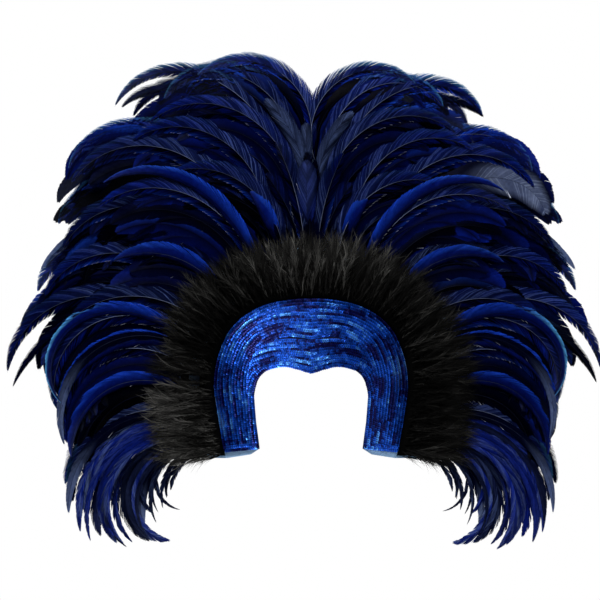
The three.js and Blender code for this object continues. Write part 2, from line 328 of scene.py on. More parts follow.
def photo_place(column, row):
    """Front-plane place of a pixel of the photograph, in metres."""
    return (column - PHOTO_MIDDLE_X) * PIXEL * MM, (PHOTO_BASE_Y - row) * PIXEL * MM


def add_camera():
    lens = bpy.data.cameras.new("camera")
    middle_x, middle_z = photo_place(PHOTO_SIZE / 2, PHOTO_SIZE / 2)
    middle_y = (cad_box[0][1] + cad_box[1][1]) / 2
    lens.sensor_width = SENSOR
    lens.lens = SENSOR * CAMERA_DISTANCE / (PHOTO_SIZE * PIXEL * MM)
    camera = bpy.data.objects.new("camera", lens)
    camera.location = (middle_x, middle_y - CAMERA_DISTANCE, middle_z)
    camera.rotation_euler = (math.pi / 2, 0.0, 0.0)
    bpy.context.collection.objects.link(camera)
    bpy.context.scene.camera = camera


LIGHTS = (
    # name, place, size, watts
    ("key", (-0.5, -1.6, 2.3), 1.0, 85.0),
    ("fill", (1.5, -2.4, 0.8), 1.6, 24.0),
    ("top", (0.2, 0.9, 1.9), 1.4, 35.0),
)
LIGHT_AIM = (0.0, 0.0, 0.15)
WORLD_LIGHT = 0.1
FLOOR_Z = -0.3
FLOOR_RADIUS = 0.8


def add_lights():
    for name, place, size, watts in LIGHTS:
        lamp = bpy.data.lights.new(name, "AREA")
        lamp.size = size
        lamp.energy = watts
        light = bpy.data.objects.new(name, lamp)
        light.location = place
        aim = Vector(LIGHT_AIM) - Vector(place)
        light.rotation_euler = aim.to_track_quat("-Z", "Y").to_euler()
        bpy.context.collection.objects.link(light)


def add_world():
    """A white backdrop for the camera that lights the object only softly."""
    world = bpy.data.worlds.new("studio")
    world.use_nodes = True
    tree = world.node_tree
    backdrop = tree.nodes["Background"]
    backdrop.inputs["Color"].default_value = (1.0, 1.0, 1.0, 1.0)
    dim = tree.nodes.new("ShaderNodeBackground")
    dim.inputs["Color"].default_value = (0.9, 0.94, 1.0, 1.0)
    dim.inputs["Strength"].default_value = WORLD_LIGHT
    path = tree.nodes.new("ShaderNodeLightPath")
    mixed = tree.nodes.new("ShaderNodeMixShader")
    tree.links.new(path.outputs["Is Camera Ray"], mixed.inputs["Fac"])
    tree.links.new(dim.outputs["Background"], mixed.inputs[1])
    tree.links.new(backdrop.outputs["Background"], mixed.inputs[2])
    tree.links.new(mixed.outputs["Shader"], tree.nodes["World Output"].inputs["Surface"])
    bpy.context.scene.world = world
    bpy.context.scene.view_settings.view_transform = "Standard"


def add_floor():
    bpy.ops.mesh.primitive_circle_add(
        vertices=96, radius=FLOOR_RADIUS, fill_type="NGON", location=(0.0, 0.0, FLOOR_Z)
    )
    floor = bpy.context.object
    floor.name = "floor"
    pale = tuple(dye(236, 236, 238))
    paler = tuple(dye(244, 244, 246))
    floor.data.materials.append(cloth_material("pale floor", pale, paler, thread=300.0))


# Sequins

SEQUIN_RADIUS = 2.3
SEQUIN_SIDES = 8
# Height of a sequin's rim and of its middle, and place of the ring between them
SEQUIN_CUP = 0.4
SEQUIN_EYE = -0.05
SEQUIN_RING = 0.5
SEQUIN_STEP = 2.5
LEAST_SEQUINS = 3
ROW_PITCH = 3.5
ROW_INSET = 1.6
ROW_END = 1.5
ROW_STEPS = 240
FULL_ROWS = 12
FULL_WIDTH = 46.0
CROWN_ROWS = 11
CROWN_END = 88.0
CROWN_STEPS = 200
CROWN_OVERLAP = 1.4
BORDER_ROWS = 2
SEQUIN_RISE = 1.2
BORDER_RISE = 2.0
# Dip of the full rows over the pointed brow, the room that it leaves, and its width in degrees
DIP = 4.5
DIP_ROOM = 4.0
DIP_WIDTH = 13.0
# Lean of a sequin on the next, its roll across the row and how uneven both are, in degrees
SEQUIN_LEAN = 12.0
SEQUIN_ROLL = 6.0
SEQUIN_UNEVEN = 4.5
# Half of the step that measures the slope of the panel
SLOPE_STEP = 0.5
# Lengths of the waves along a row that roll the sequins and paint their light, and the long wave's share
SHORT_WAVES = (6.0, 14.0)
LONG_WAVES = (16.0, 40.0)
LONG_SHARE = 0.8
# Lengths across and up of the two waves that make patches of painted light over the rows
PATCH_ACROSS = (19.0, 27.0)
PATCH_UP = (31.0, 9.0)
# Painted light of a sequin: its middle, and the shares of its row's wave, of the patches and of chance
SPARK_MIDDLE = 0.43
SPARK_WAVE = 0.28
SPARK_PATCH = 0.22
SPARK_CHANCE = 0.12
# Painted light at which a sequin turns from dark to blue and from blue to bright
BLUE_SPARK = (0.1, 0.65)
BRIGHT_SPARK = (0.72, 1.0)
BRIGHT_SHARE = 0.8
# A sequin's colours: dark as a painted dark reflection, its own blue, and bright as a painted reflection
SEQUIN_PAINTED_DARK = dye(2, 6, 72)
SEQUIN_BLUE = dye(18, 78, 194)
SEQUIN_PAINTED_GLINT = dye(86, 160, 246)
# Painted highlight on a sequin's rim and painted shade in its cup and middle, as factors on its colour
RIM_SHINE = 1.35
CUP_SHINE = 0.6
EYE_SHINE = 0.2


def even_steps(x, z, step):
    """Places at even steps along a line of points."""
    run = np.concatenate([[0.0], np.cumsum(np.hypot(np.diff(x), np.diff(z)))])
    marks = np.arange(step / 2, run[-1], step)
    return np.interp(marks, run, x), np.interp(marks, run, z)


def both_legs(end, steps):
    """March and side of a row that runs up one half and down the other."""
    march = np.concatenate([np.linspace(end, 0.0, steps), np.linspace(0.0, end, steps)[1:]])
    return march, np.concatenate([np.full(steps, -1.0), np.full(steps - 1, 1.0)])


def brow(march):
    """How far a place is over the pointed brow, 1 at the middle."""
    return np.exp(-((march / DIP_WIDTH) ** 2))


def full_row(index):
    """A row of sequins that follows the outer edge from leg to leg."""
    share = index / (FULL_ROWS - 1)
    march, side = both_legs(LEG_START + PANEL_DROP - ROW_END - LEG_SLANT * share, ROW_STEPS)
    squeeze = np.minimum((shoe_outer(march) - shoe_inner(march)) / FULL_WIDTH, 1.0)
    distance = shoe_outer(march) - (ROW_INSET + ROW_PITCH * index) * squeeze - DIP * share * brow(march)
    return march_point(march, side, distance)


def crown_row(index):
    """A row that follows the pointed brow and ends where it meets the full rows."""
    march, side = both_legs(CROWN_END, CROWN_STEPS)
    distance = shoe_inner(march) + ROW_INSET + ROW_PITCH * index
    limit = shoe_outer(march) - ROW_INSET - ROW_PITCH * (FULL_ROWS - CROWN_OVERLAP)
    inside = distance + DIP_ROOM * brow(march) < limit
    x, z = march_point(march, side, distance)
    return x[inside], z[inside]


def border_row(index):
    """A row along the inner edge, from leg to leg."""
    march, side = both_legs(LEG_START + PANEL_DROP - LEG_SLANT - ROW_INSET, ROW_STEPS)
    return march_point(march, side, shoe_inner(march) + ROW_INSET + ROW_PITCH * index)


def end_row(side, index):
    """A short row across the end of a leg."""
    end = LEG_START + PANEL_DROP - ROW_INSET - ROW_PITCH * index
    march = np.array([end, end - LEG_SLANT])
    distance = np.array([shoe_outer(march[0]) - ROW_INSET, shoe_inner(march[1]) + ROW_INSET])
    return march_point(march, side, distance)


def sequin_rows():
    """Rows of sequins, each with its rise off the panel."""
    rows = [(full_row(index), SEQUIN_RISE) for index in range(FULL_ROWS)]
    rows += [(crown_row(index), SEQUIN_RISE) for index in range(BORDER_ROWS, CROWN_ROWS)]
    for index in range(BORDER_ROWS):
        rows.append((border_row(index), BORDER_RISE))
        rows += [(end_row(side, index), BORDER_RISE) for side, _ in SIDES]
    return [(line, rise) for line, rise in rows if len(line[0]) > 1]


def sequin_shape():
    """A cupped disc: rim, inner ring and middle, with its triangles."""
    turn = np.arange(SEQUIN_SIDES) * 2.0 * math.pi / SEQUIN_SIDES
    rim = np.stack([np.cos(turn), np.sin(turn), np.full(SEQUIN_SIDES, SEQUIN_CUP)], axis=1)
    ring = np.stack([SEQUIN_RING * np.cos(turn), SEQUIN_RING * np.sin(turn), np.zeros(SEQUIN_SIDES)], axis=1)
    points = np.concatenate([rim, ring, [[0.0, 0.0, SEQUIN_EYE]]])
    points[:, :2] *= SEQUIN_RADIUS
    triangles = []
    for i in range(SEQUIN_SIDES):
        j = (i + 1) % SEQUIN_SIDES
        triangles.append((i, j, SEQUIN_SIDES + j))
        triangles.append((i, SEQUIN_SIDES + j, SEQUIN_SIDES + i))
        triangles.append((SEQUIN_SIDES + i, SEQUIN_SIDES + j, 2 * SEQUIN_SIDES))
    return points, triangles


def row_wave(count, rng):
    """A slow seeded wave along a row of sequins."""
    run = np.arange(count) * SEQUIN_STEP
    wave = np.sin(run / rng.uniform(*SHORT_WAVES) + rng.uniform(*PHASES))
    return wave + LONG_SHARE * np.sin(run / rng.uniform(*LONG_WAVES) + rng.uniform(*PHASES))


def sequin_axes(centre, x, z, wave, rng):
    """Axes of each sequin of a row, which leans on the next: along, across and out of its cup."""
    along = unit(np.gradient(centre, axis=0))
    ahead = lifted(x + SLOPE_STEP, z, 0.0) - lifted(x - SLOPE_STEP, z, 0.0)
    above = lifted(x, z + SLOPE_STEP, 0.0) - lifted(x, z - SLOPE_STEP, 0.0)
    normal = unit(np.cross(ahead, above))
    lean = np.radians(SEQUIN_LEAN + rng.normal(0.0, SEQUIN_UNEVEN, len(x)))
    roll = np.radians(SEQUIN_ROLL * wave + rng.normal(0.0, SEQUIN_UNEVEN, len(x)))
    across = np.cross(normal, along)
    tilted = unit(normal + np.tan(lean)[:, None] * along + np.tan(roll)[:, None] * across)
    side_axis = unit(np.cross(tilted, along))
    return np.stack([np.cross(side_axis, tilted), side_axis, tilted], axis=1)


def sequin_colours(x, z, wave, rng):
    # Painted reflections: the row's wave, the patches and chance turn each sequin from dark through its blue
    # to bright
    patch = np.sin(x / PATCH_ACROSS[0] + z / PATCH_UP[0]) * np.sin(z / PATCH_UP[1] - x / PATCH_ACROSS[1])
    chance = rng.normal(0.0, SPARK_CHANCE, len(x))
    spark = np.clip(SPARK_MIDDLE + SPARK_WAVE * wave + SPARK_PATCH * patch + chance, 0.0, 1.0)
    colour = blend(SEQUIN_PAINTED_DARK, SEQUIN_BLUE, smoothstep(spark, *BLUE_SPARK))
    return blend(colour, SEQUIN_PAINTED_GLINT, BRIGHT_SHARE * smoothstep(spark, *BRIGHT_SPARK))


def add_sequins():
    rng = np.random.default_rng(SEED)
    shape, triangles = sequin_shape()
    # Painted highlight on the rim corners, painted shade on the cup and middle
    painted_shine = np.repeat((RIM_SHINE, CUP_SHINE, EYE_SHINE), (SEQUIN_SIDES, SEQUIN_SIDES, 1))
    heap = Heap()
    for line, rise in sequin_rows():
        x, z = even_steps(*line, SEQUIN_STEP)
        if len(x) < LEAST_SEQUINS:
            continue
        centre = lifted(x, z, PANEL_FRONT + rise)
        wave = row_wave(len(x), rng)
        axes = sequin_axes(centre, x, z, wave, rng)
        points = centre[:, None, :] + np.einsum("kc,ncd->nkd", shape, axes)
        tints = sequin_colours(x, z, wave, rng)[:, None, :] * painted_shine[None, :, None]
        heap.add_copies(points, triangles, tints)
    declare(heap.piece("sequins", sequin_material()), "sequin")


# Down trim

TRIMS = (
    # name, first and last march, droop of the last tufts in degrees, shortest and longest stem
    ("fluff_crown", 0.0, 60.0, 0.0, (38.0, 68.0)),
    ("fluff_side", 60.0, 160.0, 4.0, (42.0, 80.0)),
)
CORE_OUT = (0.3, 0.8, 5.0, 12.0, 17.0, 18.0)
CORE_LIFT = (0.5, 3.0, 9.0, 12.0, 9.0, 0.5)
CORE_STEPS = 40
TUFTS = 360
STRANDS = 44
# A tuft's root across the core and its depth there, its turn in degrees, its rise for each millimetre of stem
# and how uneven that is, and the lifts that its strands stay between
TUFT_OUT = (0.5, 17.0)
TUFT_DEPTH = 1.0
TUFT_TURN = 9.0
TUFT_RISE = 0.5
TUFT_UNEVEN = 0.16
TUFT_LIFTS = (1.0, 38.0)
# Tufts that root inside this line are shorter by this share
INNER_OUT = 6.0
INNER_CUT = 0.3
# A strand's place on the stem, its spread in degrees, length, shortening up the stem, bend, half width, share
# of that in the middle, and the way that it faces
STRAND_SPOT = (0.04, 0.8)
STRAND_FAN = (2.0, 20.0)
STRAND_LENGTH = (14.0, 34.0)
STRAND_SHORTENING = 0.35
STRAND_BEND = 0.22
STRAND_HALF = 0.26
STRAND_MIDDLE = 0.8
STRAND_FACING = (0.0, -1.5, 0.0)
STRAND_STATIONS = (0.0, 0.5, 1.0)
STRAND_TRIANGLES = ((0, 1, 3), (0, 3, 2), (2, 3, 4))
# Least painted grey sheen of a tuft and what chance adds, shares of it in its strands, and how much of a
# strand's painted sheen shows at its root and middle
TUFT_SHEEN = 0.15
TUFT_SHEEN_SPAN = 0.95
STRAND_SHEEN = (0.1, 1.0)
ROOT_SHEEN = 0.3
MIDDLE_SHEEN = 0.8
# The down's own black, its painted grey sheen and the warmer painted sheen of its palest strands
DOWN_DARK = dye(3, 3, 3)
DOWN_SHEEN = dye(151, 150, 146)
DOWN_WARM_SHEEN = dye(180, 175, 166)
# Painted light on the down along the march, on the left and the right: how much of its painted sheen shows
DOWN_LIGHT_MARCH = (0, 20, 35, 65, 85, 110, 160)
PAINTED_DOWN_LIGHT = {-1.0: (0.4, 0.4, 0.2, 0.16, 0.4, 0.6, 0.6), 1.0: (0.36, 0.4, 0.26, 0.18, 0.1, 0.08, 0.16)}


def down_core(heap, first, last, side):
    march = np.linspace(first, last, CORE_STEPS)
    rings = []
    for out, lift in zip(CORE_OUT, CORE_LIFT):
        x, z = march_point(march, side, shoe_outer(march) + out)
        rings.append(lifted(x, z, lift))
    heap.add(np.stack(rings, axis=1), grid_triangles(CORE_STEPS, len(CORE_OUT)), DOWN_DARK)


def tuft_stems(first, last, droop, stems, side, rng):
    """Tufts of a length of down: root, lift, aim, reach, rise and painted grey sheen of each stem, as
    columns.
    """
    share = rng.uniform(0.0, 1.0, TUFTS)
    march = first + (last - first) * share
    out = rng.uniform(*TUFT_OUT, TUFTS)
    x, z = march_point(march, side, shoe_outer(march) + out)
    turn = rng.normal(0.0, TUFT_TURN, TUFTS)
    reach = rng.uniform(*stems, TUFTS) * (1.0 - INNER_CUT * (out < INNER_OUT))
    rise = reach * (TUFT_RISE + rng.normal(0.0, TUFT_UNEVEN, TUFTS))
    # Painted sheen of each tuft, uneven at random from tuft to tuft
    grey = TUFT_SHEEN + TUFT_SHEEN_SPAN * smoothstep(rng.uniform(0.0, 1.0, TUFTS), 0.5, 1.0)
    tufts = {
        "x": x,
        "z": z,
        "lift": np.interp(out, CORE_OUT, CORE_LIFT) - TUFT_DEPTH,
        "aim": np.radians(np.minimum(march, LEG_START) + droop * share**3 + turn),
        "reach": reach,
        "rise": rise,
        "grey": grey * np.interp(march, DOWN_LIGHT_MARCH, PAINTED_DOWN_LIGHT[side]),
    }
    return {name: values[:, None] for name, values in tufts.items()}


def tuft_strands(rng):
    """Soft strands of each stem: place on it, spread, spin round it, length and bend."""
    shape = (TUFTS, STRANDS)
    spot = rng.uniform(*STRAND_SPOT, shape)
    fan = np.radians(rng.uniform(*STRAND_FAN, shape))
    spin = rng.uniform(0.0, 2.0 * math.pi, shape)
    length = rng.uniform(*STRAND_LENGTH, shape) * (1.0 - STRAND_SHORTENING * spot)
    return spot, fan, spin, length, rng.normal(0.0, STRAND_BEND, shape)


def strand_points(tufts, strands, along, side):
    """Places of all strands at a share of their length."""
    spot, fan, spin, length, bend = strands
    run = length * along
    forward = tufts["reach"] * spot + run * np.cos(fan)
    sideways = run * np.sin(fan) * np.cos(spin) + bend * length * along**2
    climb = tufts["lift"] + tufts["rise"] * np.sqrt(spot) + run * np.sin(fan) * np.sin(spin)
    x = tufts["x"] + side * (forward * np.sin(tufts["aim"]) - sideways * np.cos(tufts["aim"]))
    z = tufts["z"] + forward * np.cos(tufts["aim"]) + sideways * np.sin(tufts["aim"])
    return lifted(x, z, np.clip(climb, *TUFT_LIFTS)).reshape(-1, 3)


def strand_tints(grey, rng):
    """Colours of the strands' corners: black down with painted sheen, least of it at the root, so darkest
    there.
    """
    pale = np.repeat(grey, STRANDS) * rng.uniform(*STRAND_SHEEN, TUFTS * STRANDS)
    ends = blend(DOWN_DARK, DOWN_SHEEN, pale)
    ends = blend(ends, DOWN_WARM_SHEEN, 0.5 * smoothstep(pale, 0.6, 1.0))
    base = blend(DOWN_DARK, ends, ROOT_SHEEN)
    body = blend(DOWN_DARK, ends, MIDDLE_SHEEN)
    return np.stack([base, base, body, body, ends], axis=1)


def down_tufts(heap, first, last, droop, stems, side, rng):
    """Tufts of down: a curved stem that stands out of the core, with soft strands all round it."""
    tufts = tuft_stems(first, last, droop, stems, side, rng)
    strands = tuft_strands(rng)
    root, middle, tip = [strand_points(tufts, strands, along, side) for along in STRAND_STATIONS]
    run = unit(tip - root)
    facing = unit(rng.normal(0.0, 1.0, run.shape) + np.array(STRAND_FACING))
    width = unit(np.cross(run, facing)) * STRAND_HALF
    waist = STRAND_MIDDLE * width
    points = np.stack([root - width, root + width, middle - waist, middle + waist, tip], axis=1)
    heap.add_copies(points, STRAND_TRIANGLES, strand_tints(tufts["grey"], rng))


def add_down():
    material = down_material()
    for side, label in SIDES:
        for index, (name, first, last, droop, stems) in enumerate(TRIMS):
            rng = np.random.default_rng(DOWN_SEED + len(SIDES) * index + int(side > 0))
            heap = Heap()
            down_core(heap, first, last, side)
            down_tufts(heap, first, last, droop, stems, side, rng)
            node = f"{name}_{label}"
            declare(heap.piece(f"{node}_down", material), "down", node)


# Feathers

ROOT_LIFT = 1.1
ROOT_RISE = 40.0
LEAN_REACH = 160.0
QUILL_STEPS = 64
LEAST_LIFT = 0.4
TAPE_STEPS = 48
TAPE_HALF = 5.0
TAPE_BACK = 0.7
TAPE_FRONT = 2.2
RIGHT_CLOCK = (0, 4.5, 12, 21, 29, 40, 57, 88, 119)
RIGHT_SHARE = (0.94, 0.86, 0.88, 0.9, 0.97, 0.96, 0.91, 0.97, 1.04)
FILL_KINDS = ("broad", "hackle", "slim", "wisp", "gleam")
RIBBON_CLOCK = 101.0
THREAD_CLOCK = 111.5
CLOCK, RING, HEADING, LENGTH, CURL, HOOK, KIND, HALVES = range(8)
BOTH = (-1.0, 1.0)
LEFT = (-1.0,)
RIGHT = (1.0,)
# A tier's rows are its lead feathers, as in the part, and its kind of feather. Fills lie between them, so
# many to a degree and at least so many, of kinds mixed by share, and ribbons and threads past their clocks.
# Extras are single feathers that catch the light or hide the frame, on one half or both, and those under the
# rest close the gaps at the bottom.
# Each tier sets how strong its painted slate sheen, the painted backlight on its fringes and its fade to grey
# are
TIERS = (
    {
        "name": "plumes_outer",
        "layer": 2.0,
        "tip_lift": -20.0,
        "density": 0.6,
        "least": 3,
        "mix": (0.47, 0.38, 0.1, 0.05, 0.0),
        "backlit_fringe": 0.45,
        "painted_sheen": 0.55,
        "fade": 0.2,
        "rows": (
            (1.5, 268, -22, 230, 152, 1.1, "hackle"),
            (2.8, 264, 8, 240, 140, 1.5, "hackle"),
            (4.5, 262, 28, 282, 126, 1.9, "hackle"),
            (9, 254, 28, 226, 122, 1.6, "broad"),
            (15, 246, 49, 268, 114, 2.2, "hackle"),
            (21, 238, 48, 250, 122, 2.4, "broad"),
            (29, 226, 48, 224, 110, 1.6, "hackle"),
            (38, 214, 46, 217, 102, 1, "sliver"),
            (47, 208, 52, 204, 110, 1.4, "hackle"),
            (57, 198, 58, 170, 112, 1.3, "hackle"),
        ),
        "extras": (
            (1.9, 266, -14, 205, 150, 1.15, "broad", BOTH),
            (2.3, 265, -4, 215, 146, 1.25, "broad", BOTH),
            (3.6, 263, 16, 235, 134, 1.6, "broad", BOTH),
            (25, 232, 50, 240, 112, 2, "broad", BOTH),
            (25.4, 232, 34, 204, 95, 2.4, "glow", RIGHT),
        ),
    },
    {
        "name": "plumes_middle",
        "layer": 12.0,
        "tip_lift": 0.0,
        "density": 0.5,
        "least": 3,
        "mix": (0.46, 0.36, 0.12, 0.04, 0.02),
        "backlit_fringe": 0.03,
        "painted_sheen": 0.9,
        "fade": 0.1,
        "rows": (
            (3, 211, 8, 262, 125, 1.4, "hackle"),
            (13, 205, 12, 230, 115, 1.4, "hackle"),
            (22, 190, 18, 284, 130, 1.4, "hackle"),
            (33, 186, 34, 234, 120, 1.3, "hackle"),
            (48, 178, 46, 214, 110, 1.4, "hackle"),
            (61, 172, 58, 260, 116, 1.4, "hackle"),
            (68, 170, 46, 194, 116, 1.1, "hackle"),
        ),
        "extras": (
            (1.5, 218, 0, 100, 0, 1, "spear", LEFT),
            (2.6, 210, -9, 150, 60, 1.2, "spear", BOTH),
            (28, 188, 39, 252, 128, 2.2, "veil", RIGHT),
            (64, 172, 60, 236, 98, 1, "slim", BOTH),
        ),
    },
    {
        "name": "plumes_crown",
        "layer": 22.0,
        "tip_lift": 14.0,
        "density": 0.5,
        "least": 3,
        "mix": (0.58, 0.24, 0.1, 0.04, 0.04),
        "backlit_fringe": 0.02,
        "painted_sheen": 0.9,
        "fade": 0.1,
        "rows": (
            (2.5, 162, 2, 140, 25, 1, "hackle"),
            (11, 160, 6, 190, 100, 1.2, "hackle"),
            (24, 154, 20, 240, 110, 1.3, "hackle"),
            (41, 152, 36, 150, 80, 1.2, "gleam"),
            (56, 150, 52, 170, 80, 1.2, "hackle"),
        ),
        "extras": (
            (0.6, 150, 0, 80, 0, 1, "broad", BOTH),
            (1.2, 166, -2, 118, 6, 1, "hackle", BOTH),
            (1.7, 170, 0, 104, 0, 1, "leaf", LEFT),
            (10.5, 164, 26, 86, 6, 1, "gleam", BOTH),
            (21.8, 156, 27, 240, 94, 1.7, "gleam", BOTH),
        ),
    },
    {
        "name": "plumes_side",
        "layer": 22.0,
        "tip_lift": 14.0,
        "density": 0.6,
        "least": 1,
        "mix": (0.42, 0.32, 0.18, 0.04, 0.04),
        "backlit_fringe": 0.25,
        "painted_sheen": 0.85,
        "fade": 0.15,
        "rows": (
            (66, 150, 48, 246, 152, 1.2, "hackle"),
            (77, 150, 54, 214, 142, 1.15, "hackle"),
            (88, 148, 62, 188, 124, 1.1, "glow"),
            (98, 148, 74, 198, 112, 1.05, "hackle"),
            (104, 150, 82, 202, 106, 1, "ribbon"),
            (108, 152, 86, 190, 132, 1.15, "ribbon"),
            (111.4, 152, 94, 178, 172, 1.25, "ribbon"),
            (114.2, 151, 100, 112, 108, 1, "thread"),
            (117, 150, 112, 54, 66, 1, "thread"),
        ),
        "extras": (
            (66, 151, 54, 256, 168, 1.6, "gleam", BOTH),
            (70.5, 150, 60, 200, 112, 1, "glow", BOTH),
            (70, 150, 54, 244, 146, 1, "sliver", BOTH),
            (82, 149, 58, 196, 130, 1.1, "broad", BOTH),
            (92, 148, 68, 184, 138, 1.1, "broad", BOTH),
            (99.5, 149, 76, 206, 108, 1, "sliver", BOTH),
            (101, 149, 77, 186, 110, 1, "ribbon", BOTH),
            (102.6, 149, 79, 196, 106, 1, "ribbon", BOTH),
            (105.8, 150, 83.5, 204, 114, 1.05, "ribbon", BOTH),
            (107, 151, 85, 182, 126, 1.1, "ribbon", BOTH),
            (109.8, 152, 88, 196, 146, 1.3, "ribbon", BOTH),
            (110.8, 152, 91, 170, 150, 1.2, "ribbon", BOTH),
            (113, 151, 97, 140, 118, 1.1, "thread", BOTH),
            (115.6, 150, 106, 84, 90, 1, "thread", BOTH),
            (109, 152, 87.5, 188, 138, 1.22, "ribbon", BOTH),
        ),
        "under": (
            (106.2, 150, 84, 190, 116, 1.05, "ribbon", BOTH),
            (110.1, 152, 89.3, 178, 138, 1.2, "ribbon", BOTH),
            (112.8, 151, 96, 138, 112, 1.1, "sliver", BOTH),
            (113.8, 151, 98, 122, 100, 1, "sliver", BOTH),
        ),
    },
)
# A kind of feather: widest vane, share of it outside the curl, barb spacing, sweep of the barbs for each
# millimetre of vane, pull of neighbouring barbs into clumps, slope of the vane, how it opens and closes, half
# the width of a barb and what is left of it at its end as shares of the spacing, and how well the quill and
# single light barbs show
KIND_COLUMNS = (
    "width", "outer", "pitch", "sweep", "clump", "camber",
    "opens", "closes", "half", "point", "quill", "grain",
)
KIND_ROWS = {
    "hackle": (28.0, 0.6, 1.15, 1.9, 0.2, 0.36, 0.1, 2.6, 0.62, 0.16, 1.0, 1.0),
    "slim": (20.0, 0.6, 1.15, 2.0, 0.25, 0.3, 0.12, 2.4, 0.62, 0.2, 0.8, 1.0),
    "broad": (34.0, 0.58, 1.4, 1.1, 0.1, 0.36, 0.12, 4.0, 0.62, 0.6, 0.5, 0.35),
    "gleam": (22.0, 0.74, 1.15, 2.0, 0.15, 0.1, 0.1, 1.7, 0.7, 0.5, 0.2, 0.3),
    "glow": (24.0, 0.7, 1.15, 2.0, 0.2, 0.1, 0.1, 2.2, 0.7, 0.4, 0.2, 0.5),
    "ribbon": (17.0, 0.56, 2.0, 3.8, 0.3, 0.3, 0.14, 2.4, 1.0, 0.3, 0.1, 0.45),
    "thread": (8.0, 0.5, 1.6, 3.0, 0.3, 0.2, 0.2, 2.0, 0.9, 0.3, 0.3, 0.5),
    "wisp": (13.0, 0.6, 1.15, 2.0, 0.25, 0.2, 0.2, 1.6, 0.62, 0.2, 0.4, 1.0),
    "veil": (42.0, 0.5, 1.4, 1.1, 0.1, 0.12, 0.15, 6.0, 0.62, 0.9, 1.6, 0.8),
    "sliver": (14.0, 0.5, 1.4, 2.4, 0.1, 0.1, 0.15, 4.0, 0.62, 0.6, 0.6, 0.4),
    "leaf": (38.0, 0.5, 1.3, 2.2, 0.1, 0.1, 0.3, 1.6, 0.8, 0.3, 0.2, 0.5),
    "spear": (24.0, 0.5, 1.3, 3.2, 0.1, 0.1, 0.3, 3.0, 0.8, 0.3, 0.2, 0.4),
}
KINDS = {name: dict(zip(KIND_COLUMNS, row)) for name, row in KIND_ROWS.items()}
# Stations along a barb from quill to edge, each with the share of the barb's width that is left there
LEAD_STATIONS = ((0.0, 1.0), (0.5, 1.0), (0.84, 0.7), (1.0, 0.0))
FILL_STATIONS = ((0.0, 1.0), (0.6, 0.95), (1.0, 0.0))
# Kinds that take no more painted shade between the leads than the leads do, and kinds that lie in front of
# the leads
LIGHT_KINDS = ("gleam", "glow", "ribbon", "thread", "veil", "sliver", "leaf", "spear")
FRONT_KINDS = ("gleam", "glow", "leaf", "sliver")
# Tone of the barbs between the light lines, and how rare, how uneven and how light the lines are
STREAK_BASE = 0.35
LINE_FLOOR = 0.5
LINE_SPAN = 1.0
LINE_GAIN = 0.8
# Layers of the extras over their tier's own, and from each to the next
FRONT_LAYER = 9.0
BACK_LAYER = 5.0
EXTRA_STEP = 0.4
# Fills between two leads: place, turn in degrees, shares of the leads' length and curl, and layers
FILL_PLACE = (0.25, 0.75)
FILL_TURN = 5.0
FILL_LENGTH = (0.66, 0.96)
FILL_CURL = (0.85, 1.12)
FILL_LAYERS = (0.0, 4.0)
LEAD_LAYERS = (6.0, 8.0)
# Width of a vane at its root, as a length along the feather, and how full its tip is
VANE_ROOT = 0.03
TIP_FULLNESS = 0.8
# Place of the first barb along the feather, and what the barbs span
BARB_START = 0.03
BARB_SPAN = 0.96
# Slow drifts along the barbs, as ranges of wavelengths in barbs, and how strong they and chance are
EDGE_DRIFT = (20.0, 60.0)
WOBBLE_DRIFT = (12.0, 40.0)
TONE_DRIFT = (14.0, 40.0)
FINE_DRIFT = (3.0, 8.0)
DRIFT_WAVES = 3
DRIFT_GAIN = 1.4
WIDTH_UNEVEN = 0.05
WIDTH_CHANCE = 0.02
BEND_UNEVEN = 0.06
BEND_CHANCE = 0.008
WOBBLE = 0.8
WOBBLE_CHANCE = 0.12
TONE_UNEVEN = 0.2
FINE_UNEVEN = 0.05
CLUMP_SIZES = (4, 13)
# Sweep of the barbs at the root and how much of it the tip loses, and how sweep and droop grow to the edge
ROOT_SWEEP = 1.4
SWEEP_LOSS = 0.5
SWEEP_CURVE = 1.25
DROOP_CURVE = 1.4
BARB_TWIST = 0.22
# Reach of the painted glints round a feather's spot, as a share of its length
GLINT_REACH = 0.22
# Quill: its radius along its length and its height over the vane
RACHIS_ALONG = (0.0, 0.15, 1.0)
RACHIS_RADIUS = (0.5, 0.25, 0.08)
RACHIS_RISE = 0.5
RACHIS_CORNERS = ((1.0, 0.0), (0.0, 1.0), (-1.0, 0.0), (0.0, -1.0))
# Stretch over which the painted light at a feather's spot fades, stretch where the feather turns down and its
# edge takes painted backlight, the most that a pale tint may cover, and the chances of a painted glint on a
# barb of a lead hackle and of any other feather
SPOT_FADE = (0.12, 0.4)
TURN_DOWN = (0.3, 0.6)
PALE_LIMIT = 0.9
LEAD_GLINT = 0.17
FILL_GLINT = 0.02
# Feather colours: the bright blue is a painted highlight, the palest blue is painted backlight on the fringes
# and the glint is painted; slate is painted sheen on hackles, ribbons and threads and the own grey of the
# paler feathers
INK = dye(1, 1, 6)
NAVY = dye(2, 5, 30)
RIBBON_DARK = dye(14, 20, 46)
ROYAL = dye(11, 36, 146)
RIM_HIGHLIGHT = dye(34, 84, 222)
SLATE_DARK = dye(48, 58, 92)
SLATE = dye(80, 98, 146)
FRINGE_BACKLIGHT = dye(112, 204, 255)
VEIL = dye(112, 124, 154)
GLINT = dye(214, 220, 238)
RACHIS = dye(136, 148, 184)


